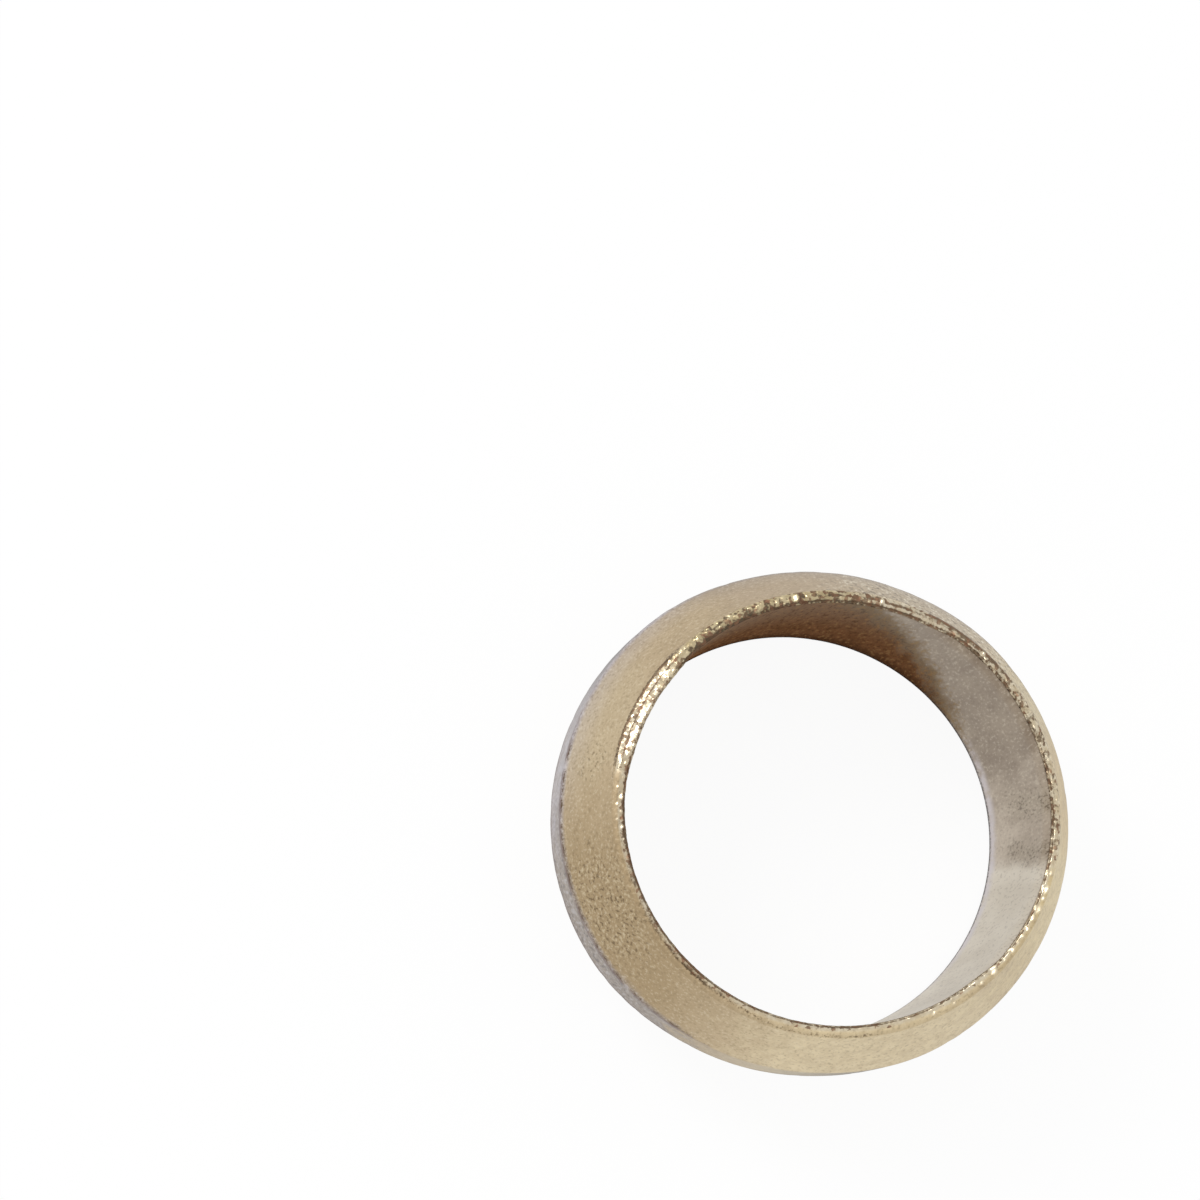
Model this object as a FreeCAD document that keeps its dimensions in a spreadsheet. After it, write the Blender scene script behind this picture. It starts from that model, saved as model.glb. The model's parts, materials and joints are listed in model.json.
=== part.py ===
import FreeCAD, Part
import math
import os

import Sketcher

# Compression olive for 15 mm pipe: a brass ring turned in one piece.
# Its bore slides over the pipe. A cone at each end seats in a cone of the joint,
# and a narrow cylindrical band joins the two cones.
# The ring lies on one flat end face, centred on the origin, with its bore along Z.

SIZES_MM = {
    "pipe_diameter": 15.0,     # outside of the pipe that the ring grips
    "pipe_clearance": 0.1,     # bore diameter less pipe diameter
    "crest_wall": 1.65,        # from the bore to the band round the middle
    "ring_length": 8.0,        # from one end face to the other
    "band_width": 1.9,         # straight part of the band between the cones
    "shoulder_radius": 0.3,    # where each cone rolls over into the band
    "land_width": 0.4,         # from the bore to the foot of the cone, on each end face
    "rim_radius": 0.08,        # where each cone meets its end face
    "mouth_break": 0.1,        # bevel at each mouth of the bore
}

SAME_MM = 1e-4                 # two lengths closer than this are taken as equal

doc = FreeCAD.newDocument("olive")


def make_sheet():
    """The driving dimensions, one to a row, each with its name as alias."""
    sheet = doc.addObject("Spreadsheet::Sheet", "sizes")
    for row, (name, value) in enumerate(SIZES_MM.items(), start=1):
        sheet.set(f"A{row}", name)
        sheet.set(f"B{row}", str(value))
        sheet.setAlias(f"B{row}", name)
    doc.recompute()
    return sheet


def bore_radius(sheet):
    return (sheet.pipe_diameter + sheet.pipe_clearance) / 2


def origin_plane(body, role):
    """The plane of the body's own origin that has this role."""
    return next(plane for plane in body.Origin.OriginFeatures if plane.Role == role)


def rough_outline(sheet):
    """Lines and arcs near their places, in order round the section.

    Across is the radius and up is the height. The sketch's rules then set them exactly.
    """
    bore = bore_radius(sheet)
    foot = bore + sheet.land_width
    crest = bore + sheet.crest_wall
    top = sheet.ring_length
    low = (top - sheet.band_width) / 2
    high = top - low
    slope = math.atan2(crest - foot, low)
    roll = sheet.shoulder_radius

    def line(start, end):
        return Part.LineSegment(FreeCAD.Vector(*start, 0), FreeCAD.Vector(*end, 0))

    def shoulder(height, start, end):
        circle = Part.Circle(FreeCAD.Vector(crest - roll, height, 0), FreeCAD.Vector(0, 0, 1), roll)
        return Part.ArcOfCircle(circle, start, end)

    return [
        line((bore, 0), (foot, 0)),
        line((foot, 0), (crest, low)),
        shoulder(low, -slope, 0),
        line((crest, low), (crest, high)),
        shoulder(high, 0, slope),
        line((crest, high), (foot, top)),
        line((foot, top), (bore, top)),
        line((bore, top), (bore, 0)),
    ]


def draw_section(body, sheet):
    """One side of the ring's section, held by its rules and by the sheet's sizes."""
    sketch = body.newObject("Sketcher::SketchObject", "section")
    sketch.AttachmentSupport = [(origin_plane(body, "XZ_Plane"), "")]
    sketch.MapMode = "FlatFace"
    sketch.addGeometry(rough_outline(sheet), False)
    bottom_land, bottom_cone, bottom_shoulder, band, top_shoulder, top_cone, top_land, wall = range(8)
    across, origin = -1, (-1, 1)
    first, last = 1, 2

    def rule(kind, *where):
        sketch.addConstraint(Sketcher.Constraint(kind, *where))

    def size(kind, name, expression, *where):
        value = float(sketch.evalExpression(expression))
        index = sketch.addConstraint(Sketcher.Constraint(kind, *where, value))
        sketch.renameConstraint(index, name)
        sketch.setExpression(f".Constraints.{name}", expression)

    for corner in ((wall, bottom_land), (bottom_land, bottom_cone), (top_cone, top_land), (top_land, wall)):
        rule("Coincident", corner[0], last, corner[1], first)
    for before, after in ((bottom_cone, bottom_shoulder), (bottom_shoulder, band),
                          (band, top_shoulder), (top_shoulder, top_cone)):
        rule("Tangent", before, last, after, first)
    rule("PointOnObject", bottom_land, first, across)
    for level in (bottom_land, top_land):
        rule("Horizontal", level)
    for upright in (band, wall):
        rule("Vertical", upright)
    rule("Vertical", bottom_cone, first, top_cone, last)
    rule("Equal", bottom_cone, top_cone)
    rule("Equal", bottom_shoulder, top_shoulder)

    size("DistanceX", "bore", "(sizes.pipe_diameter + sizes.pipe_clearance) / 2",
         *origin, bottom_land, first)
    size("DistanceX", "land", "sizes.land_width", bottom_land, first, bottom_land, last)
    size("DistanceX", "crest", "sizes.crest_wall", bottom_land, first, band, first)
    size("DistanceY", "band", "sizes.band_width", band, first, band, last)
    size("Radius", "shoulder", "sizes.shoulder_radius", bottom_shoulder)
    size("DistanceY", "length", "sizes.ring_length", wall, last, wall, first)
    return sketch


def turn(body, sketch):
    """The blank: the section turned once round the Z axis."""
    blank = body.newObject("PartDesign::Revolution", "blank")
    blank.Profile = sketch
    blank.ReferenceAxis = (sketch, ["V_Axis"])
    blank.Angle = 360
    doc.recompute()
    return blank


def edges_at(feature, radius, heights):
    """Names of the feature's round edges of this radius at these heights."""
    names = []
    for number, edge in enumerate(feature.Shape.Edges, start=1):
        if not isinstance(edge.Curve, Part.Circle):
            continue
        circle = edge.Curve
        same_radius = abs(circle.Radius - radius) < SAME_MM
        same_height = any(abs(circle.Center.z - height) < SAME_MM for height in heights)
        if same_radius and same_height:
            names.append(f"Edge{number}")
    return names


def dress_edges(body, kind, name, base, edges, property_name, size_name):
    """A fillet or a bevel on these edges of the feature before it."""
    feature = body.newObject(kind, name)
    feature.Base = (base, edges)
    feature.setExpression(property_name, f"sizes.{size_name}")
    doc.recompute()
    return feature


def make_olive(sheet):
    body = doc.addObject("PartDesign::Body", "olive")
    body.Label = "olive"
    body.Placement = FreeCAD.Placement()
    blank = turn(body, draw_section(body, sheet))
    ends = (0, sheet.ring_length)
    feet = edges_at(blank, bore_radius(sheet) + sheet.land_width, ends)
    rims = dress_edges(body, "PartDesign::Fillet", "rims", blank, feet, "Radius", "rim_radius")
    mouths = edges_at(rims, bore_radius(sheet), ends)
    dress_edges(body, "PartDesign::Chamfer", "mouths", rims, mouths, "Size", "mouth_break")
    return body


def check(pieces):
    """Stops unless every feature worked and every piece is one valid solid."""
    for item in doc.Objects:
        if "Invalid" in item.State or "Error" in item.State:
            raise RuntimeError(f"{item.Name} failed: {item.State}")
    for piece in pieces:
        shape = piece.Shape
        if shape.isNull() or not shape.isValid() or len(shape.Solids) != 1:
            raise RuntimeError(f"{piece.Label} isn't one valid solid")


def write(pieces):
    os.makedirs("parts", exist_ok=True)
    for piece in pieces:
        piece.Shape.exportStep(os.path.join("parts", f"{piece.Label}.step"))
        box = piece.Shape.optimalBoundingBox(True, False)
        print(f"{piece.Label}: {piece.Shape.Volume:.2f} mm3, "
              f"{box.XLength:.2f} x {box.YLength:.2f} x {box.ZLength:.2f} mm")


sizes = make_sheet()
olive = make_olive(sizes)
check([olive])
write([olive])
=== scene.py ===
import json
import math

import bpy
from mathutils import Matrix, Vector, noise


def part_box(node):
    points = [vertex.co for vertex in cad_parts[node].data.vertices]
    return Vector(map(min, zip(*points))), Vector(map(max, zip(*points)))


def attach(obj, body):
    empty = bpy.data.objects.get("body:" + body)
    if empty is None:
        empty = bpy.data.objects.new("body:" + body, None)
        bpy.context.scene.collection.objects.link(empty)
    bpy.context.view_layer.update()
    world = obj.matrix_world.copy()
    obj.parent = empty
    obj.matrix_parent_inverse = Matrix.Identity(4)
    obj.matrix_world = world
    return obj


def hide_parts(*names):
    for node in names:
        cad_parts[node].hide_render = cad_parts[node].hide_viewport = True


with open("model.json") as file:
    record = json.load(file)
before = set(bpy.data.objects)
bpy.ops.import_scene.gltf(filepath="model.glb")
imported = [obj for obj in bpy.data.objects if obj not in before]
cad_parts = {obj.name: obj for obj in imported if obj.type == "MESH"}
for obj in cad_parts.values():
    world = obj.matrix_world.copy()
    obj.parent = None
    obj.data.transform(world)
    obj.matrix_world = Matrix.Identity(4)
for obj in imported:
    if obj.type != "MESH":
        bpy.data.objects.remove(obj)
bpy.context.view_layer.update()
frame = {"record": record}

MM = 0.001

# The ring's sizes. Its crest, length and bore come from the frame.

ring_low, ring_high = (Vector(corner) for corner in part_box("olive"))
bore_mount = next(mount for mount in frame["record"]["mounts"] if mount["name"] == "bore")
LENGTH = ring_high.z - ring_low.z
CREST_RADIUS = (ring_high.x - ring_low.x) / 2
BORE_RADIUS = bore_mount["dims"]["r_mm"] * MM
LAND_WIDTH = 0.4 * MM
BAND_WIDTH = 1.9 * MM
SHOULDER_RADIUS = 0.3 * MM
RIM_RADIUS = 0.2 * MM
MOUTH_BREAK = 0.1 * MM
FOOT_RADIUS = BORE_RADIUS + LAND_WIDTH

# The ring was bored a little off its centre, and it has been pressed a little out of round.
# An arc is written as its middle azimuth, its half width and how far it fades beyond its
# ends, all in degrees.

BORE_SHIFT = Vector((0.056, -0.037, 0)) * MM
SQUASH = 0.01
PRESSED_ARCS = ((87, 14, 30), (255, 12, 30))
PRESSED_IN = 0.13 * MM
PRESSED_OUT = 0.05 * MM

# Where the ring is in the photograph's square frame, and how it leans there.

FRAME_PX = 1200
RING_CENTRE_PX = (811.9, 823.9)
CREST_RADIUS_PX = 255.1
DISTANCE_IN_RADII = 15.9
LEAN = math.radians(14.55)
LEAN_TOWARDS = math.radians(27.0)
SENSOR_MM = 36.0

# Arcs of the upper end face and its edges.

UPPER_ARCS = {
    "bright": (152, 11, 13),       # worn to a bright slope outwards
    "torn": (24, 31, 10),          # torn up into burrs, with dirt between them
    "pushed": (7, 47, 12),         # the mouth is pushed outwards
    "golden": (108, 22, 20),       # burred all over, and golden
    "left_burrs": (177, 14, 6),    # more burred along the mouth
    "top_groove": (70, 16, 16),    # a dirty groove beside the mouth
    "low_groove": (243, 30, 14),   # a shallow groove round the end face
    "edge_line": (228, 60, 10),    # a thin dark line along the mouth
    "mouth_line": (12, 42, 8),     # a faint dark line along the mouth
    "broad_line": (118, 8, 12),    # the line along the mouth is broader
    "foot_line": (54, 8, 12),      # a broken line of dirt at the cone's foot
    "dull": (206, 22, 14),         # dull beside the bore
}

# Arcs of the band and of the cones beside it.

BAND_ARCS = {
    "smudged": (200, 34, 14),         # dark smudges along the band's edges
    # The skin arcs also carry a painted lavender sheen, a painted reflection on the band and on the cones
    # beside it.
    "skinned": (140, 82, 30),         # the drawn tube's skin is left on the band
    "widely_skinned": (112, 40, 40),  # the skin reaches well onto the cones
}

# The shallow groove's outer distance from the bore, and how much nearer it is at first. It swings
# outwards from this azimuth on, over this many degrees.

LOW_GROOVE_OUTER = 0.41 * MM
LOW_GROOVE_SWING = 0.17 * MM
LOW_GROOVE_SWINGS_AT = 238
LOW_GROOVE_SWINGS_OVER = 18

# Bright beads on the upper end, grouped by their distance from the bore in millimetres, each
# bead as its azimuth in degrees and its radius in millimetres. Every bead has a flat, which
# faces the same azimuth at the same slope. The lower the power, the sharper the flat's edge.

BEADS = (
    (0.31, ((48, 0.10), (-15, 0.12), (-19.5, 0.20), (-22, 0.12), (-25, 0.20))),
    (0.25, ((-28, 0.12), (-31, 0.14), (-33.5, 0.11), (-35.5, 0.09), (-38, 0.12), (-41.5, 0.09),
            (-45.5, 0.18), (-50, 0.11))),
    (0.26, ((101, 0.18), (78, 0.12), (-59, 0.09), (-65, 0.11))),
    (0.17, ((168, 0.10), (172, 0.08), (177, 0.13), (181, 0.10), (185, 0.12))),
    (0.30, ((174.5, 0.07), (179, 0.08), (183, 0.07))),
)
BEADS_FACE = 152
BEAD_SLOPE = math.tan(math.radians(28))
BEAD_EDGE_POWER = 0.3
BEAD_BURR = 0.25

# The slope to which the bright arc is worn, and how far above the end it starts elsewhere, so that
# it wears nothing away there. The cone counts as worn where it is at least this much lower.

WORN_SLOPE = math.tan(math.radians(29))
UNWORN_LIFT = 0.4 * MM
LOWERED = 0.01 * MM

# How far things stand out, or are pushed or cut in, where the wear is full, in millimetres.

MOUTH_OUT_MM = 0.13
MOUTH_IN_MM = 0.08
LUMP_MM = 0.006
BURR_MM = 0.03
GROOVE_MM = 0.035
CONE_WAVE_MM = 0.006
CONE_GRAIN_MM = 0.002
BORE_WAVE_MM = 0.003
CREST_WAVE_MM = 0.003
KNOCK_MM = 0.025

# How many steps the mesh has round the ring, and along each part of the section's two halves.

ROUND_STEPS = 1240
UPPER_STEPS = {"bore": 9, "mouth": 4, "land": 6, "rim": 8, "cone": 19, "shoulder": 4, "band": 4}
LOWER_STEPS = {"bore": 4, "mouth": 2, "land": 3, "rim": 2, "cone": 8, "shoulder": 3, "band": 3}
FACES = ("bore", "end", "cone", "band")


# The ring's section

class Spot:
    """One point of the section: its radius, height, outward normal and the face that it is on.

    Across is how far it is from the bore, and end is the height of the end on its side.
    """

    def __init__(self, radius, height, normal, face):
        self.radius = radius
        self.height = height
        self.normal = normal
        self.face = face
        self.across = radius - BORE_RADIUS
        self.upper = height > LENGTH / 2
        self.end = LENGTH if self.upper else 0.0

    def distance(self, radius, height):
        return math.hypot(self.radius - radius, self.height - height)


def straight(start, end, steps, normal, face, crowd=0.0):
    """Spots from start, up to but without the end.

    They stand closer towards the end where crowd is above 0, and towards the start below 0.
    """
    spots = []
    for step in range(steps):
        even = step / steps
        share = even + crowd * even * (1 - even)
        radius = start[0] + share * (end[0] - start[0])
        height = start[1] + share * (end[1] - start[1])
        spots.append(Spot(radius, height, normal, face))
    return spots


def rounded(centre, radius, start, end, steps, face):
    """Spots round an arc from one angle to another, up to but without the end."""
    spots = []
    for step in range(steps):
        angle = start + step / steps * (end - start)
        normal = (math.cos(angle), math.sin(angle))
        spots.append(Spot(centre[0] + radius * normal[0], centre[1] + radius * normal[1], normal, face))
    return spots


def upper_half(steps, mouth_face):
    """The section above the middle: up the bore, over the end face, down the cone to the band."""
    middle = LENGTH / 2
    shoulder = (CREST_RADIUS - SHOULDER_RADIUS, middle + BAND_WIDTH / 2)
    across, down = shoulder[0] - FOOT_RADIUS, shoulder[1] - LENGTH
    cone_angle = math.atan2(down, across) + math.acos(-SHOULDER_RADIUS / math.hypot(across, down))
    cone_normal = (math.cos(cone_angle), math.sin(cone_angle))
    bevel_normal = (-math.sqrt(0.5), math.sqrt(0.5))
    rim = (FOOT_RADIUS - RIM_RADIUS * (1 - cone_normal[1]) / cone_normal[0], LENGTH - RIM_RADIUS)

    bore_middle = (BORE_RADIUS, middle)
    mouth = (BORE_RADIUS, LENGTH - MOUTH_BREAK)
    land_inside = (BORE_RADIUS + MOUTH_BREAK, LENGTH)
    land_outside = (rim[0], LENGTH)
    cone_top = (rim[0] + RIM_RADIUS * cone_normal[0], rim[1] + RIM_RADIUS * cone_normal[1])
    cone_foot = (shoulder[0] + SHOULDER_RADIUS * cone_normal[0],
                 shoulder[1] + SHOULDER_RADIUS * cone_normal[1])
    band_edge = (CREST_RADIUS, shoulder[1])
    band_middle = (CREST_RADIUS, middle)
    return (
        straight(bore_middle, mouth, steps["bore"], (-1, 0), "bore", crowd=0.85)
        + straight(mouth, land_inside, steps["mouth"], bevel_normal, mouth_face)
        + straight(land_inside, land_outside, steps["land"], (0, 1), "end")
        + rounded(rim, RIM_RADIUS, math.pi / 2, cone_angle, steps["rim"], "end")
        + straight(cone_top, cone_foot, steps["cone"], cone_normal, "cone", crowd=-0.6)
        + rounded(shoulder, SHOULDER_RADIUS, cone_angle, 0, steps["shoulder"], "band")
        + straight(band_edge, band_middle, steps["band"], (1, 0), "band")
    )


def closed_section():
    """The upper half, then the lower one as its mirror image, back to where it started."""
    upper = upper_half(UPPER_STEPS, "end")
    lower = [Spot(spot.radius, LENGTH - spot.height, (spot.normal[0], -spot.normal[1]), spot.face)
             for spot in reversed(upper_half(LOWER_STEPS, "bore"))]
    crest = Spot(CREST_RADIUS, LENGTH / 2, (1, 0), "band")
    return upper + [crest] + lower[:-1]


# The worn surface

def fade(distance, reach):
    """1 at no distance, falling smoothly to 0 at this reach."""
    share = min(max(1 - distance / reach, 0.0), 1.0)
    return share * share * (3 - 2 * share)


def ripple(point, size, seed=0.0):
    """A smooth random height between -1 and 1, with bumps about this far apart."""
    return noise.noise(point / size + Vector((seed, seed, seed)))


def on_ring(azimuth_degrees, radius, height):
    azimuth = math.radians(azimuth_degrees)
    return (radius * math.cos(azimuth), radius * math.sin(azimuth), height)


def on_arc(azimuth, arc):
    """1 on an arc of the ring, fading to 0 beyond its ends."""
    middle, half_width, fading = arc
    apart = abs((azimuth - middle + 180) % 360 - 180)
    return fade(max(apart - half_width, 0), fading)


class Wear:
    """How the ring is worn at one azimuth: a share of the most wear for each kind of arc."""

    def __init__(self, azimuth, upper):
        for name, arc in UPPER_ARCS.items():
            setattr(self, name, on_arc(azimuth, arc) if upper else 0.0)
        for name, arc in BAND_ARCS.items():
            setattr(self, name, on_arc(azimuth, arc))
        self.pressed = max(on_arc(azimuth, arc) for arc in PRESSED_ARCS)
        inwards = fade(max(azimuth - LOW_GROOVE_SWINGS_AT, 0), LOW_GROOVE_SWINGS_OVER)
        self.low_groove_at = LOW_GROOVE_OUTER - LOW_GROOVE_SWING * inwards


def worn_height(spot, wear):
    """The height that is left where the upper end is worn to a slope outwards."""
    if not spot.upper:
        return spot.height
    worn = LENGTH + (1 - wear.bright) * UNWORN_LIFT
    worn -= WORN_SLOPE * max(spot.across - MOUTH_BREAK, 0)
    return min(spot.height, worn)


def spread(spot, wear):
    """How far the upper mouth is pushed outwards on the right, and inwards where it is bright."""
    near_mouth = fade(LENGTH - spot.height, 0.7 * MM) * fade(spot.across, LAND_WIDTH)
    return near_mouth * (MOUTH_OUT_MM * wear.pushed - MOUTH_IN_MM * wear.bright) * MM


def bead_at(spot, point):
    """How far inside a bright bead a point is, from 0 to 1, and its lift to the bead's slanted flat."""
    if spot.face != "end" or not spot.upper:
        return 0.0, 0.0
    for from_bore, beads in BEADS:
        for azimuth, radius in beads:
            away = point - Vector(on_ring(azimuth, BORE_RADIUS + from_bore * MM, point.z))
            if away.length < radius * MM:
                share = fade(away.length, radius * MM) ** BEAD_EDGE_POWER
                flat = LENGTH - BEAD_SLOPE * away.dot(Vector(on_ring(BEADS_FACE, 1, 0)))
                return share, (flat - point.z) * share
    return 0.0, 0.0


def groove_share(spot, wear):
    """How deep in a groove round the upper end a point is, from 0 to 1."""
    low = 0.42 * wear.low_groove * fade(abs(spot.across - wear.low_groove_at), 0.13 * MM)
    top = 0.75 * wear.top_groove * fade(abs(spot.across - 0.25 * MM), 0.08 * MM)
    from_mouth = spot.distance(BORE_RADIUS + MOUTH_BREAK / 2, LENGTH - MOUTH_BREAK / 2)
    edge = 0.6 * wear.edge_line * fade(from_mouth, 0.09 * MM)
    mouth = max(0.9 * wear.top_groove, wear.golden, 0.4 * wear.mouth_line)
    return max(low, top, edge, mouth * fade(from_mouth, (0.12 + 0.12 * wear.broad_line) * MM))


def burr_share(spot, wear, lowered):
    """How far a point is broken up into burrs, from 0 to 1, where torn brass is broken up the most."""
    if spot.face != "end" and not lowered:
        return 0.0
    from_mouth = spot.distance(BORE_RADIUS + MOUTH_BREAK / 2, LENGTH)
    at_mouth = (0.35 + 0.4 * wear.left_burrs) * fade(from_mouth, 0.3 * MM)
    return max(0.7 * wear.torn, 0.45 * wear.bright, 0.6 * wear.golden, 0.3 * wear.top_groove, at_mouth)


def end_wear(spot, point, wear, burr):
    """Lumps and burrs on an end face and its edges, the dirt between them, and two lines of painted shade
    beside the bright arc.
    """
    lip = max(fade(spot.distance(BORE_RADIUS + MOUTH_BREAK / 2, spot.end), 0.2 * MM),
              fade(spot.distance(FOOT_RADIUS, spot.end), 0.25 * MM),
              1.0 if spot.face == "end" else 0.0)
    out, dirt = 0.0, 0.0
    if lip > 0:
        lumps = 0.75 * ripple(point, 0.11 * MM) + 0.6 * ripple(point, 0.26 * MM, seed=7)
        out = lip * lumps * (LUMP_MM + BURR_MM * burr) * MM
        hollow = max(0.0, 0.15 - lumps)
        dirt = lip * burr * (0.1 + hollow * (1 + wear.golden) + 0.1 * wear.torn)
    # Painted shade: two darker lines beside the bright arc, kept with the dirt.
    shade_beside_bright = max(0.5 * fade(abs(spot.across - 0.3 * MM), 0.05 * MM),
                        0.8 * fade(abs(spot.across - 0.48 * MM), 0.07 * MM))
    return out, dirt + wear.bright * shade_beside_bright


def groove_wear(spot, point, wear):
    """The upper end's grooves, its line of dirt at the cone's foot and its dull part beside the bore."""
    cut = groove_share(spot, wear) * (0.75 + 0.5 * ripple(point, 1.5 * MM, seed=3))
    at_foot = fade(abs(spot.across - 0.38 * MM), 0.14 * MM)
    dirt = 0.9 * cut + wear.foot_line * at_foot * max(0.0, 0.75 + ripple(point, 0.2 * MM, seed=53))
    if spot.face == "end" and spot.across < wear.low_groove_at:
        dull = max(0.14 * wear.low_groove, 0.6 * wear.dull * fade(spot.across, 0.4 * MM))
        dirt += dull * max(0.0, 0.6 + ripple(point, 0.4 * MM, seed=37))
    return -cut * GROOVE_MM * MM, dirt


def cone_wear(spot, point, wear):
    """A cone's slight unevenness, and specks of dirt beside the end face."""
    wave = CONE_WAVE_MM * MM * ripple(point, 0.9 * MM, seed=11)
    grain = CONE_GRAIN_MM * MM * ripple(point, 0.2 * MM, seed=12)
    by_end = fade(spot.distance(FOOT_RADIUS, spot.end), 0.7 * MM)
    speckled = by_end * max(wear.top_groove, wear.torn, 0.4 * wear.golden)
    return wave + grain, speckled * max(0.0, ripple(point, 0.14 * MM, seed=23) + 0.2) * 1.3


def crest_wear(spot, point, wear):
    """Knocks along the band's edges, and smudges there."""
    edge = min(abs(spot.height - (LENGTH + side * BAND_WIDTH) / 2) for side in (-1, 1))
    knock = fade(edge, 0.35 * MM) * max(0.0, ripple(point, 0.5 * MM, seed=17) - 0.05)
    cut = knock * KNOCK_MM * MM + CREST_WAVE_MM * MM * (1 + ripple(point, 0.8 * MM, seed=13))
    smudge = fade(edge, 0.25 * MM) * wear.smudged
    return -cut, knock * 0.4 + smudge * max(0.0, 0.8 + ripple(point, 0.5 * MM, seed=29))


def relief_dirt_and_shade(spot, point, wear, burr):
    """How far the worn surface stands out from the true one, in metres, and how dark it is painted there,
    with dirt and some painted shade.
    """
    effects = [end_wear(spot, point, wear, burr)]
    if spot.upper:
        effects.append(groove_wear(spot, point, wear))
    if spot.face == "cone":
        effects.append(cone_wear(spot, point, wear))
    if spot.face == "bore":
        wave = BORE_WAVE_MM * MM * ripple(point, 0.6 * MM, seed=19)
        effects.append((wave, fade(spot.height, 0.32 * MM)))
    if spot.radius > CREST_RADIUS - 0.25 * MM:
        effects.append(crest_wear(spot, point, wear))
    out = sum(effect[0] for effect in effects)
    dirt = sum(effect[1] for effect in effects)
    return out, min(dirt, 1.0)


def skin_and_sheen_share(spot, point, wear):
    """How much of the drawn skin, with its painted lavender sheen, is left on the band, and on the cone
    beside it.
    """
    if spot.face == "band":
        return min(max(2 * wear.skinned - 0.5 + 0.9 * ripple(point, 0.5 * MM, seed=43), 0.0), 1.0)
    if spot.face != "cone":
        return 0.0
    edge = abs(abs(spot.height - LENGTH / 2) - BAND_WIDTH / 2)
    close = 0.9 * fade(edge, (0.35 + 0.3 * ripple(point, 0.6 * MM, seed=31)) * MM)
    return wear.skinned * max(close, 0.4 * wear.widely_skinned * fade(edge, 1.7 * MM))


def set_off(point, spot, wear):
    """The point moved for the off-centre bore and the ring's slightly pressed shape."""
    up_cone = min(max((spot.radius - FOOT_RADIUS) / (CREST_RADIUS - FOOT_RADIUS), 0.0), 1.0)
    outward = Vector((point.x, point.y, 0)).normalized()
    moved = point + BORE_SHIFT * (1 - 2 * up_cone)
    moved += outward * up_cone * (PRESSED_OUT - PRESSED_IN * wear.pressed)
    return Vector((moved.x * (1 + SQUASH), moved.y * (1 - SQUASH), max(moved.z, 0.0)))


def turned_ring(name):
    """The ring as one closed mesh, turned section by section, with what each point keeps of its wear and
    dirt, and of the painted shade and sheen.
    """
    section = closed_section()
    kept = {"dirt": [], "skin": [], "burr": []}
    points, faces, slots = [], [], []
    for turn in range(ROUND_STEPS):
        azimuth = 360 * turn / ROUND_STEPS
        outward = Vector(on_ring(azimuth, 1, 0))
        upper_wear, lower_wear = Wear(azimuth, True), Wear(azimuth, False)
        for spot in section:
            wear = upper_wear if spot.upper else lower_wear
            height = worn_height(spot, wear)
            lowered = spot.height - height > LOWERED and spot.face == "cone"
            point = outward * (spot.radius + spread(spot, wear)) + Vector((0, 0, height))
            normal = outward * spot.normal[0] + Vector((0, 0, spot.normal[1]))
            bead, lift = bead_at(spot, point)
            burr = burr_share(spot, wear, lowered) * (1 - bead) + BEAD_BURR * bead
            out, dirt = relief_dirt_and_shade(spot, point, wear, burr)
            shaped = point + normal * out * (1 - bead) + Vector((0, 0, lift))
            points.append(set_off(shaped, spot, wear))
            kept["dirt"].append(dirt * (1 - bead))
            kept["skin"].append(skin_and_sheen_share(spot, point, wear))
            kept["burr"].append(burr)
            slots.append(FACES.index("end" if lowered else spot.face))
    count = len(section)
    for turn in range(ROUND_STEPS):
        here = turn * count
        there = (turn + 1) % ROUND_STEPS * count
        for step in range(count):
            after = (step + 1) % count
            faces.append((here + step, here + after, there + after, there + step))
    mesh = bpy.data.meshes.new(name)
    mesh.from_pydata(points, [], faces)
    mesh.polygons.foreach_set("material_index", slots)
    for label, values in kept.items():
        mesh.attributes.new(label, "FLOAT", "POINT").data.foreach_set("value", values)
    mesh.shade_smooth()
    ring = bpy.data.objects.new(name, mesh)
    bpy.context.collection.objects.link(ring)
    return ring


# Where the brass differs from its plain colour. A place is an azimuth in degrees, a radius and
# a height. The tinted patches all have the same radius and height.

TINTS_AT = (8.6 * MM, 6 * MM)
ROUGH_AT = (58, 8.6 * MM, 6.4 * MM)
PITTED_AT = (203, 8.4 * MM, 6.4 * MM)
DENTED_AT = (168, 8.5 * MM, 6.5 * MM)
# The pale, bluish patch on the band is a painted reflection.
PAINTED_SHEEN_AT = (154, CREST_RADIUS, LENGTH / 2)
SCUFFED_AT = (206, CREST_RADIUS, LENGTH / 2)
YELLOW_AT = (112, 7.8 * MM, LENGTH)

# Tinted patches of the cut brass: azimuth, reach in millimetres, share of the tint, and the tint.

BRASS_TINTS = (
    (-76, 7.2, 1.0, (226, 210, 176)),
    (2, 9.0, 1.0, (230, 213, 172)),
    (207, 5.3, 0.95, (174, 152, 118)),
    (66, 4.6, 0.6, (192, 180, 160)),
    (100, 3.8, 0.6, (184, 165, 142)),
    (157, 3.2, 0.6, (210, 193, 161)),
    (7, 3.2, 0.6, (222, 196, 148)),
)

# Where the bore changes on its way round: each change's start and end, in degrees.

BORE_GREYS = (4.0, 24.0)
# Low on the right the bore is painted lighter, as painted light where it faces the lamp. The same lighter
# colour comes again round the near side.
BORE_LIT_SIDE = (-4.6, -9.4)
BORE_LIGHTER_AGAIN = (140.0, 175.0)
PALE_STRIP_STARTS = (-55.0, -30.0)
# The edge of the brown stain, which is partly tarnish and partly painted shade: with its slant it follows
# the shadow that the upper rim casts into the bore.
STAIN_AND_SHADE_EDGE = 34.0

# The middle and half width of the bore's two murky streaks, in degrees.

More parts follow.
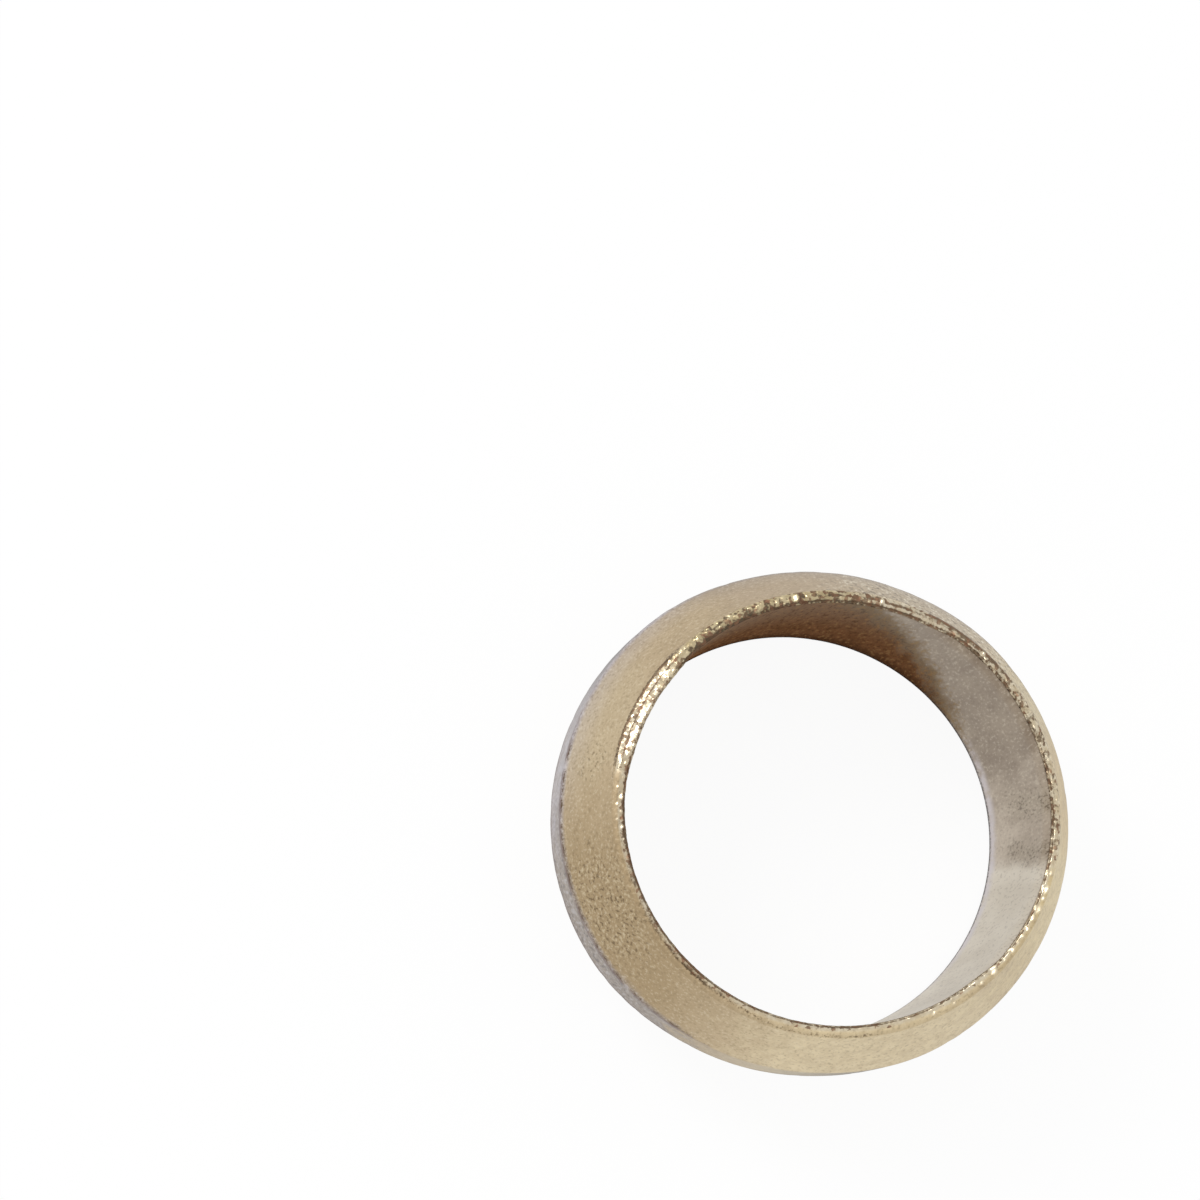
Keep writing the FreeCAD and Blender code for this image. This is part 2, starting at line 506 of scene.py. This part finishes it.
MURKY_STREAKS = ((9.3, 6.0), (-3.6, 5.5))

# How far round the bore its lines move from one end to the other, in degrees.

STREAK_SLANT = 6.0
# The stain's slant follows the upper rim's shadow, as painted shade.
STAIN_AND_SHADE_SLANT = 50.0


# Building blocks of the finishes

def colour(red, green, blue):
    """A colour written in 0 to 255, as the shaders want it."""
    def one(level):
        level /= 255
        return level / 12.92 if level <= 0.04045 else ((level + 0.055) / 1.055) ** 2.4
    return (one(red), one(green), one(blue), 1.0)


def add(tree, kind, inputs=None, **settings):
    """A node with these settings, and each input set to a value or joined to a socket."""
    node = tree.nodes.new(kind)
    for name, value in settings.items():
        setattr(node, name, value)
    for name, value in (inputs or {}).items():
        if isinstance(value, bpy.types.NodeSocket):
            tree.links.new(value, node.inputs[name])
        else:
            node.inputs[name].default_value = value
    return node


def calc(tree, operation, *values):
    return add(tree, "ShaderNodeMath", dict(enumerate(values)), operation=operation).outputs[0]


def times(tree, *values):
    """The product of several masks or numbers."""
    product = values[0]
    for value in values[1:]:
        product = calc(tree, "MULTIPLY", product, value)
    return product


def ramp(tree, value, start, end):
    """0 up to the start and 1 from the end on, with a smooth change between. The start may be larger."""
    return add(tree, "ShaderNodeMapRange", {"Value": value, "From Min": start, "From Max": end},
               interpolation_type="SMOOTHSTEP").outputs["Result"]


def blend(tree, share, below, above):
    """The first colour where the share is 0 and the second where it is 1."""
    mix = add(tree, "ShaderNodeMix", {0: share, 6: below, 7: above}, data_type="RGBA")
    return mix.outputs[2]


def new_group(name, inputs, outputs):
    tree = bpy.data.node_groups.new(name, "ShaderNodeTree")
    for label, kind, value in inputs:
        socket = tree.interface.new_socket(name=label, in_out="INPUT", socket_type=kind)
        socket.default_value = value
    for label, kind in outputs:
        tree.interface.new_socket(name=label, in_out="OUTPUT", socket_type=kind)
    return tree, tree.nodes.new("NodeGroupInput").outputs, tree.nodes.new("NodeGroupOutput").inputs


def use(tree, group, **inputs):
    """One use of a group, with its own values."""
    node = tree.nodes.new("ShaderNodeGroup")
    node.node_tree = group
    for name, value in inputs.items():
        label = name.replace("_", " ").capitalize()
        if isinstance(value, bpy.types.NodeSocket):
            tree.links.new(value, node.inputs[label])
        else:
            node.inputs[label].default_value = value
    return node.outputs


def counted_in(tree, size, drawn_out=1.0):
    """The point on the ring, counted in steps of this many millimetres.

    Along the ring's axis a step is this many times longer.
    """
    point = add(tree, "ShaderNodeTexCoord").outputs["Object"]
    shorter = calc(tree, "DIVIDE", 1.0, drawn_out)
    scale = add(tree, "ShaderNodeCombineXYZ", {"X": 1.0, "Y": 1.0, "Z": shorter}).outputs[0]
    shaped = add(tree, "ShaderNodeVectorMath", {0: point, 1: scale}, operation="MULTIPLY")
    steps = calc(tree, "DIVIDE", 1 / MM, size)
    return add(tree, "ShaderNodeVectorMath", {0: shaped.outputs[0], "Scale": steps},
               operation="SCALE").outputs[0]


# Effects that the finishes share

FLOAT, VECTOR, COLOUR = "NodeSocketFloat", "NodeSocketVector", "NodeSocketColor"


def mottling():
    """Cloudy patches of this size in millimetres, from 0 to 1."""
    tree, given, result = new_group(
        "mottling", [("Size", FLOAT, 1.0), ("Drawn out", FLOAT, 1.0), ("Seed", FLOAT, 0.0)],
        [("Value", FLOAT)])
    cloud = add(tree, "ShaderNodeTexNoise",
                {"Vector": counted_in(tree, given["Size"], given["Drawn out"]), "W": given["Seed"],
                 "Scale": 1.0, "Detail": 3.0, "Roughness": 0.6},
                noise_dimensions="4D")
    tree.links.new(ramp(tree, cloud.outputs["Fac"], 0.33, 0.67), result["Value"])
    return tree


def speckling():
    """Fine light and dark specks of this size in millimetres, as two masks, and their height."""
    tree, given, result = new_group(
        "speckling", [("Size", FLOAT, 0.1), ("Drawn out", FLOAT, 1.0)],
        [("Light", FLOAT), ("Dark", FLOAT), ("Height", FLOAT)])
    fine = add(tree, "ShaderNodeTexNoise",
               {"Vector": counted_in(tree, given["Size"], given["Drawn out"]), "Scale": 1.0,
                "Detail": 1.5, "Roughness": 0.6}).outputs["Fac"]
    tree.links.new(ramp(tree, fine, 0.55, 0.68), result["Light"])
    tree.links.new(ramp(tree, fine, 0.45, 0.32), result["Dark"])
    tree.links.new(fine, result["Height"])
    return tree


def patch():
    """A ragged patch, 1 at its centre and 0 at its reach, both in metres.

    Edge is the share of the reach over which it fades.
    """
    tree, given, result = new_group(
        "patch",
        [("Centre", VECTOR, (0, 0, 0)), ("Reach", FLOAT, 2 * MM),
         ("Edge", FLOAT, 0.5), ("Rag", FLOAT, 0.5)],
        [("Mask", FLOAT)])
    point = add(tree, "ShaderNodeTexCoord").outputs["Object"]
    away = add(tree, "ShaderNodeVectorMath", {0: point, 1: given["Centre"]}, operation="DISTANCE")
    share = calc(tree, "DIVIDE", away.outputs["Value"], given["Reach"])
    cloud = add(tree, "ShaderNodeTexNoise",
                {"Vector": counted_in(tree, 0.7), "Scale": 1.0, "Detail": 4.0})
    ragged = times(tree, calc(tree, "SUBTRACT", cloud.outputs["Fac"], 0.5), given["Rag"])
    inner = calc(tree, "SUBTRACT", 1.0, given["Edge"])
    edge = ramp(tree, calc(tree, "ADD", share, ragged), inner, 1.0)
    tree.links.new(calc(tree, "SUBTRACT", 1.0, edge), result["Mask"])
    return tree


def facets():
    """Small flat facets of this size in millimetres, each with its own tilt and random number."""
    tree, given, result = new_group(
        "facets", [("Size", FLOAT, 0.13), ("Tilt", FLOAT, 0.8)], [("Normal", VECTOR), ("Chance", FLOAT)])
    where = counted_in(tree, given["Size"])
    bent = add(tree, "ShaderNodeTexNoise", {"Vector": where, "Scale": 1.3, "Detail": 1.0})
    shaken = add(tree, "ShaderNodeVectorMath", {0: bent.outputs["Color"], 1: (0.9, 0.9, 0.9), 2: where},
                 operation="MULTIPLY_ADD")
    cells = add(tree, "ShaderNodeTexVoronoi", {"Vector": shaken.outputs[0], "Scale": 1.0})
    random = cells.outputs["Color"]
    centred = add(tree, "ShaderNodeVectorMath", {0: random, 1: (0.5, 0.5, 0.5)}, operation="SUBTRACT")
    tilted = add(tree, "ShaderNodeVectorMath", {0: centred.outputs[0], "Scale": given["Tilt"]},
                 operation="SCALE")
    true_normal = add(tree, "ShaderNodeNewGeometry").outputs["Normal"]
    facing = add(tree, "ShaderNodeVectorMath", {0: tilted.outputs[0], 1: true_normal}, operation="ADD")
    unit = add(tree, "ShaderNodeVectorMath", {0: facing.outputs[0]}, operation="NORMALIZE")
    tree.links.new(unit.outputs[0], result["Normal"])
    parts = add(tree, "ShaderNodeSeparateColor", {0: random})
    tree.links.new(parts.outputs["Blue"], result["Chance"])
    return tree


MOTTLING = mottling()
SPECKLING = speckling()
PATCH = patch()
FACETS = facets()


def patch_at(tree, place, reach, edge, rag):
    """A patch round a place, which is its azimuth in degrees, its radius and its height."""
    return use(tree, PATCH, centre=on_ring(*place), reach=reach, edge=edge, rag=rag)["Mask"]


def flecked(tree, base, specks, light, dark, *where):
    """The base with light and dark specks, each with its share and colour, where the masks are 1."""
    for kind, (share, shade) in (("Light", light), ("Dark", dark)):
        base = blend(tree, times(tree, *where, specks[kind], share), base, shade)
    return base


def kept_at_points(tree, name):
    """A number that the mesh keeps at each of its points."""
    return add(tree, "ShaderNodeAttribute", attribute_name=name).outputs["Fac"]


def soiling():
    """Where dirt and the painted shade kept with it show: where the mesh says so, broken up into specks.
    """
    tree, given, result = new_group(
        "soiling", [("Low", FLOAT, 0.15), ("High", FLOAT, 0.75)], [("Mask", FLOAT)])
    dirt = kept_at_points(tree, "dirt")
    fine = use(tree, SPECKLING, size=0.09)["Height"]
    broken = calc(tree, "ADD", dirt, times(tree, calc(tree, "SUBTRACT", fine, 0.5), 1.2))
    shown = times(tree, ramp(tree, broken, given["Low"], given["High"]), ramp(tree, dirt, 0.0, 0.2))
    tree.links.new(shown, result["Mask"])
    return tree


def cut_brass():
    """The colour and height of cut brass: pale and matt, and not the same all the way round."""
    tree, _, result = new_group("cut brass", [], [("Color", COLOUR), ("Height", FLOAT)])
    broad = use(tree, MOTTLING, size=1.7)["Value"]
    base = blend(tree, broad, colour(200, 180, 148), colour(190, 170, 138))
    for azimuth, reach, share, shade in BRASS_TINTS:
        there = patch_at(tree, (azimuth, *TINTS_AT), reach * MM, edge=0.6, rag=0.5)
        base = blend(tree, times(tree, there, share), base, colour(*shade))
    small = use(tree, MOTTLING, size=0.4, seed=2.0)["Value"]
    base = blend(tree, times(tree, small, 0.3), base, colour(176, 156, 124))
    fine = use(tree, SPECKLING, size=0.12)
    base = flecked(tree, base, fine, (0.3, colour(230, 218, 192)), (0.3, colour(136, 118, 92)))

    rough = patch_at(tree, ROUGH_AT, 6.5 * MM, edge=0.6, rag=0.5)
    grain = use(tree, SPECKLING, size=0.16, drawn_out=2.5)
    base = flecked(tree, base, grain, (0.8, colour(234, 226, 206)), (0.8, colour(122, 107, 88)), rough)

    pitted = patch_at(tree, PITTED_AT, 3.3 * MM, edge=0.7, rag=0.9)
    coarse = use(tree, SPECKLING, size=0.15)
    base = blend(tree, times(tree, pitted, coarse["Light"], 0.5), base, colour(222, 208, 176))
    dented = patch_at(tree, DENTED_AT, 1.1 * MM, edge=0.6, rag=0.9)
    marked = calc(tree, "MAXIMUM", pitted, times(tree, dented, 0.7))
    base = blend(tree, times(tree, marked, coarse["Dark"], 0.8), base, colour(116, 98, 72))
    tree.links.new(base, result["Color"])
    tree.links.new(times(tree, coarse["Height"], calc(tree, "ADD", 0.2, pitted)), result["Height"])
    return tree


def drawn_skin_and_sheen():
    """The colour of the greyer skin that drawing left on the tube, with a painted lavender reflection
    that is palest and bluest on the left.
    """
    tree, _, result = new_group("drawn skin", [], [("Color", COLOUR)])
    broad = use(tree, MOTTLING, size=1.1, seed=5.0)["Value"]
    base = blend(tree, broad, colour(178, 167, 157), colour(160, 149, 139))
    # Painted reflection: the skin is palest and bluest here.
    pale = patch_at(tree, PAINTED_SHEEN_AT, 6.1 * MM, edge=0.4, rag=0.5)
    base = blend(tree, pale, base, blend(tree, broad, colour(206, 201, 204), colour(188, 181, 185)))
    worn = use(tree, MOTTLING, size=0.4, seed=9.0)["Value"]
    base = blend(tree, times(tree, worn, 0.4), base, colour(168, 153, 136))
    fine = use(tree, SPECKLING, size=0.12)
    base = flecked(tree, base, fine, (0.45, colour(222, 218, 218)), (0.5, colour(132, 120, 116)))

    scuffed = patch_at(tree, SCUFFED_AT, 4.6 * MM, edge=0.5, rag=0.5)
    grain = use(tree, SPECKLING, size=0.18, drawn_out=2.5)
    base = flecked(tree, base, grain, (0.5, colour(206, 202, 204)), (0.7, colour(108, 98, 96)), scuffed)
    tree.links.new(base, result["Color"])
    return tree


SOILING = soiling()
CUT_BRASS = cut_brass()
DRAWN_SKIN_AND_SHEEN = drawn_skin_and_sheen()


# The finish of each face

def new_finish(name, roughness, edge_tint):
    """A metal whose reflection at a glancing angle is dulled to this share."""
    material = bpy.data.materials.new(name)
    material.use_nodes = True
    tree = material.node_tree
    shader = tree.nodes["Principled BSDF"]
    shader.inputs["Metallic"].default_value = 1.0
    shader.inputs["Roughness"].default_value = roughness
    shader.inputs["Specular Tint"].default_value = (edge_tint, edge_tint, edge_tint, 1.0)
    return material, tree, shader


def dress(tree, shader, base, height, depth):
    """Joins the colour and a bump of this depth in metres to the shader."""
    tree.links.new(base, shader.inputs["Base Color"])
    bump = add(tree, "ShaderNodeBump", {"Height": height, "Distance": depth})
    tree.links.new(bump.outputs["Normal"], shader.inputs["Normal"])


def edge_on(tree):
    """Where the surface is seen nearly edge on. The finishes darken it there as a painted dark outline,
    which is painted shade.
    """
    facing = add(tree, "ShaderNodeLayerWeight", {"Blend": 0.5}).outputs["Facing"]
    return ramp(tree, facing, 0.89, 1.0)


def cone_finish():
    """Cut brass, with the drawn skin and its painted lavender sheen beside the band."""
    material, tree, shader = new_finish("cut_brass", 0.45, 0.9)
    brass = use(tree, CUT_BRASS)
    base = blend(tree, kept_at_points(tree, "skin"), brass["Color"], use(tree, DRAWN_SKIN_AND_SHEEN)["Color"])
    base = blend(tree, use(tree, SOILING)["Mask"], base, colour(108, 90, 72))
    # Painted shade: a dark outline where the cone is seen edge on.
    base = blend(tree, times(tree, edge_on(tree), 0.5), base, colour(110, 98, 84))
    dress(tree, shader, base, brass["Height"], 0.03 * MM)
    return material


def band_finish():
    """The band keeps the drawn tube's greyer skin, with a painted lavender reflection, over part of its
    way round, smudged along its edges.
    """
    material, tree, shader = new_finish("drawn_skin_and_sheen", 0.4, 0.8)
    brass = use(tree, CUT_BRASS)
    base = blend(tree, kept_at_points(tree, "skin"), brass["Color"], use(tree, DRAWN_SKIN_AND_SHEEN)["Color"])
    soil_share = times(tree, use(tree, SOILING, low=0.0, high=1.0)["Mask"], 0.8)
    base = blend(tree, soil_share, base, colour(126, 106, 100))
    # Painted shade: a dark outline where the band is seen edge on.
    base = blend(tree, times(tree, edge_on(tree), 0.85), base, colour(100, 90, 86))
    dress(tree, shader, base, brass["Height"], 0.01 * MM)
    return material


def under_stain_and_shade(tree, base, height, past_edge, cloud, grit, stained_and_shaded):
    """The base under the stain, which is partly tarnish and partly painted shade, and the shares of its
    golden edge and of its brown.
    """
    golden = times(tree, ramp(tree, past_edge, -12.0, 1.0), stained_and_shaded)
    brown = times(tree, ramp(tree, past_edge, -2.0, 12.0), stained_and_shaded)
    base = blend(tree, times(tree, golden, 0.85), base, colour(138, 115, 84))
    base = blend(tree, times(tree, golden, grit["Light"], 0.5), base, colour(176, 148, 104))
    stain = blend(tree, cloud, colour(139, 99, 68), colour(122, 85, 56))
    # Painted shade: the stain is lighter towards the open upper end and darkest deep in the bore.
    stain = blend(tree, ramp(tree, height, 2 * MM, 7.5 * MM), stain, colour(146, 120, 98))
    stain = blend(tree, ramp(tree, height, 1.6 * MM, 0.2 * MM), stain, colour(96, 64, 42))
    base = blend(tree, brown, base, stain)
    base = blend(tree, times(tree, golden, grit["Dark"], 0.5), base, colour(84, 56, 36))
    base = blend(tree, times(tree, brown, grit["Light"], 0.4), base, colour(182, 144, 98))
    return base, golden, brown


def bore_finish():
    """The bore's dull skin, painted lighter low on the right as painted light where it faces the lamp,
    with a brown stain across its top that is partly tarnish and partly painted shade.

    The lighter skin goes on round the near side, which the camera does not see, to the stain's far end.
    """
    material, tree, shader = new_finish("bore_skin", 0.4, 0.75)
    point = add(tree, "ShaderNodeTexCoord").outputs["Object"]
    x, y, height = add(tree, "ShaderNodeSeparateXYZ", {0: point}).outputs
    azimuth = times(tree, calc(tree, "ARCTAN2", y, x), 180 / math.pi)
    cloud = use(tree, MOTTLING, size=0.5, drawn_out=3.5, seed=21.0)["Value"]
    waver = times(tree, calc(tree, "SUBTRACT", cloud, 0.5), 5.0)
    ragged = calc(tree, "ADD", azimuth, waver)
    less_ragged = calc(tree, "ADD", azimuth, times(tree, waver, 0.25))
    slanted = calc(tree, "ADD", less_ragged, times(tree, height, STREAK_SLANT / LENGTH))

    def near(middle, half_width):
        """1 along this slanted line down the bore, falling to 0 this many degrees from it."""
        apart = calc(tree, "ABSOLUTE", calc(tree, "SUBTRACT", slanted, middle))
        return ramp(tree, apart, half_width, 0.0)

    broad = use(tree, MOTTLING, size=1.0, drawn_out=3.5, seed=14.0)["Value"]
    base = blend(tree, broad, colour(200, 186, 168), colour(180, 165, 147))
    base = blend(tree, times(tree, ramp(tree, ragged, *BORE_GREYS), 0.75), base,
                 blend(tree, broad, colour(153, 137, 118), colour(135, 118, 101)))
    # Painted light: lighter low on the right, where the bore faces the lamp, and again round the near
    # side.
    lighter_again = ramp(tree, azimuth, *BORE_LIGHTER_AGAIN)
    lighter_skin = calc(tree, "MAXIMUM", ramp(tree, slanted, *BORE_LIT_SIDE), lighter_again)
    base = blend(tree, lighter_skin, base, blend(tree, broad, colour(228, 219, 203), colour(216, 206, 189)))
    fine = use(tree, SPECKLING, size=0.1, drawn_out=3.0)
    streaks = calc(tree, "MAXIMUM", *(near(*streak) for streak in MURKY_STREAKS))
    murk = times(tree, streaks, ramp(tree, height, 1.5 * MM, 4.5 * MM))
    base = blend(tree, times(tree, murk, 0.6), base, colour(160, 145, 124))
    base = blend(tree, times(tree, murk, fine["Dark"], 0.7), base, colour(96, 84, 66))
    base = flecked(tree, base, fine, (0.3, colour(226, 216, 196)), (0.25, colour(122, 106, 88)))

    grit = use(tree, SPECKLING, size=0.13, drawn_out=3.0)
    grainy = calc(tree, "ADD", ragged, times(tree, calc(tree, "SUBTRACT", grit["Height"], 0.5), 16.0))
    # Past this slanted edge the bore is stained brown, partly as painted shade of the upper rim's shadow.
    past_edge = calc(tree, "SUBTRACT", calc(tree, "SUBTRACT", grainy, STAIN_AND_SHADE_EDGE),
                     times(tree, height, STAIN_AND_SHADE_SLANT / LENGTH))
    pale_strip = times(tree, ramp(tree, height, 1.4 * MM, 0.5 * MM), ramp(tree, past_edge, -8.0, -20.0),
                       ramp(tree, azimuth, *PALE_STRIP_STARTS), ramp(tree, cloud, -0.3, 0.8))
    base = blend(tree, times(tree, pale_strip, 0.8), base, colour(218, 211, 214))
    stained_and_shaded = calc(tree, "SUBTRACT", 1.0, lighter_again)
    base, golden, brown = under_stain_and_shade(tree, base, height, past_edge, cloud, grit, stained_and_shaded)
    base = blend(tree, use(tree, SOILING)["Mask"], base, colour(66, 54, 50))
    tree.links.new(calc(tree, "SUBTRACT", 1.0, times(tree, brown, 0.95)), shader.inputs["Metallic"])
    tree.links.new(calc(tree, "ADD", 0.4, times(tree, golden, 0.25)), shader.inputs["Roughness"])
    shader.inputs["Specular IOR Level"].default_value = 0.0
    dress(tree, shader, base, fine["Height"], 0.006 * MM)
    return material


def end_finish():
    """Cut brass, broken up into bright burrs where the mesh says so, with dark dirt between them and
    painted shade beside the bright arc.
    """
    material, tree, shader = new_finish("burred_brass", 0.45, 0.9)
    burr = kept_at_points(tree, "burr")
    broken = ramp(tree, burr, 0.05, 0.3)
    facet = use(tree, FACETS, size=0.13, tilt=burr)
    small = use(tree, MOTTLING, size=0.3, seed=30.0)["Value"]
    bright = blend(tree, small, colour(228, 217, 194), colour(205, 188, 158))
    yellow = patch_at(tree, YELLOW_AT, 5.0 * MM, edge=0.5, rag=0.3)
    bright = blend(tree, yellow, bright, blend(tree, small, colour(217, 202, 164), colour(184, 166, 126)))
    plain = blend(tree, 0.12, use(tree, CUT_BRASS)["Color"], colour(236, 219, 188))
    base = blend(tree, times(tree, broken, 0.8), plain, bright)
    soil_share = times(tree, use(tree, SOILING)["Mask"], 0.85)
    base = blend(tree, soil_share, base, blend(tree, yellow, colour(113, 94, 74), colour(82, 67, 57)))
    dirt = kept_at_points(tree, "dirt")
    dark = times(tree, calc(tree, "LESS_THAN", facet["Chance"], times(tree, dirt, broken, 0.8)), 0.75)
    base = blend(tree, dark, base, blend(tree, small, colour(122, 102, 80), colour(156, 118, 94)))
    tree.links.new(base, shader.inputs["Base Color"])
    polished = calc(tree, "SUBTRACT", 0.7, times(tree, broken, 0.42))
    dulled = times(tree, calc(tree, "MAXIMUM", soil_share, dark), 0.4)
    tree.links.new(calc(tree, "ADD", polished, dulled), shader.inputs["Roughness"])
    tree.links.new(facet["Normal"], shader.inputs["Normal"])
    return material


# The ring, with one finish for each kind of face, in the order of FACES

olive = turned_ring("turned_olive")
for finish in (bore_finish, end_finish, cone_finish, band_finish):
    olive.data.materials.append(finish())
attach(olive, "root")
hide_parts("olive")


# Floor, light and camera

FLOOR_HALF_WIDTH = 2.0
SHADOW_SHARE = 0.07
SKY_LEVEL = 0.82
LAMP_LEVEL = 0.23
LAMP_SIZE = 0.15
LAMP_DISTANCE = 0.5
LAMP_AZIMUTH = math.radians(137)
LAMP_ELEVATION = math.radians(42)


def lay_floor():
    """A white floor, which the camera and the brass see as plain white with part of the shadow."""
    half = FLOOR_HALF_WIDTH
    mesh = bpy.data.meshes.new("floor")
    mesh.from_pydata([(-half, -half, 0), (half, -half, 0), (half, half, 0), (-half, half, 0)],
                     [], [(0, 1, 2, 3)])
    material = bpy.data.materials.new("floor_white")
    material.use_nodes = True
    tree = material.node_tree
    surface = tree.nodes["Material Output"].inputs["Surface"]
    tree.nodes.remove(tree.nodes["Principled BSDF"])
    matt = add(tree, "ShaderNodeBsdfDiffuse", {"Color": (0.95, 0.95, 0.95, 1)}).outputs["BSDF"]
    plain = add(tree, "ShaderNodeEmission", {"Color": (1, 1, 1, 1), "Strength": 1.0}).outputs["Emission"]
    ray = add(tree, "ShaderNodeLightPath").outputs
    seen = calc(tree, "MAXIMUM", ray["Is Camera Ray"],
                calc(tree, "MAXIMUM", ray["Is Glossy Ray"], ray["Is Transmission Ray"]))
    share = times(tree, seen, 1 - SHADOW_SHARE)
    both = add(tree, "ShaderNodeMixShader", {0: share, 1: matt, 2: plain}).outputs[0]
    tree.links.new(both, surface)
    mesh.materials.append(material)
    floor = bpy.data.objects.new("floor", mesh)
    bpy.context.collection.objects.link(floor)


def hang_lamp():
    """One soft lamp, high on the left, that gives a level floor its share of full white."""
    towards = Vector((math.cos(LAMP_ELEVATION) * math.cos(LAMP_AZIMUTH),
                      math.cos(LAMP_ELEVATION) * math.sin(LAMP_AZIMUTH),
                      math.sin(LAMP_ELEVATION)))
    lamp = bpy.data.lights.new("soft_lamp", "AREA")
    lamp.size = LAMP_SIZE
    lamp.energy = LAMP_LEVEL * math.pi ** 2 * LAMP_DISTANCE ** 2 / math.sin(LAMP_ELEVATION)
    holder = bpy.data.objects.new("soft_lamp", lamp)
    holder.location = towards * LAMP_DISTANCE
    holder.rotation_euler = towards.to_track_quat("Z", "Y").to_euler()
    bpy.context.collection.objects.link(holder)


def light_sky():
    sky = bpy.data.worlds.new("studio")
    sky.use_nodes = True
    background = sky.node_tree.nodes["Background"]
    background.inputs["Color"].default_value = (1, 1, 1, 1)
    background.inputs["Strength"].default_value = SKY_LEVEL
    bpy.context.scene.world = sky


def set_camera():
    """A camera that puts the ring where the photograph has it, leaning the same way."""
    centre = Vector(((RING_CENTRE_PX[0] - FRAME_PX / 2) / CREST_RADIUS_PX,
                     (FRAME_PX / 2 - RING_CENTRE_PX[1]) / CREST_RADIUS_PX,
                     -DISTANCE_IN_RADII)) * CREST_RADIUS
    sight = -centre.normalized()
    right = Vector((0, 1, 0)).cross(sight).normalized()
    above = sight.cross(right)
    sideways = math.cos(LEAN_TOWARDS) * right + math.sin(LEAN_TOWARDS) * above
    axis = math.cos(LEAN) * sight + math.sin(LEAN) * sideways
    across = (Vector((1, 0, 0)) - axis.x * axis).normalized()
    to_world = Matrix((across, axis.cross(across), axis))
    lens = bpy.data.cameras.new("photo_camera")
    lens.sensor_width = SENSOR_MM
    lens.lens = CREST_RADIUS_PX * DISTANCE_IN_RADII * SENSOR_MM / FRAME_PX
    lens.clip_start = 1 * MM
    camera = bpy.data.objects.new("photo_camera", lens)
    location = Vector((0, 0, LENGTH / 2)) - to_world @ centre
    camera.matrix_world = Matrix.Translation(location) @ to_world.to_4x4()
    bpy.context.collection.objects.link(camera)
    bpy.context.scene.camera = camera


lay_floor()
hang_lamp()
light_sky()
set_camera()
bpy.context.scene.view_settings.view_transform = "Standard"
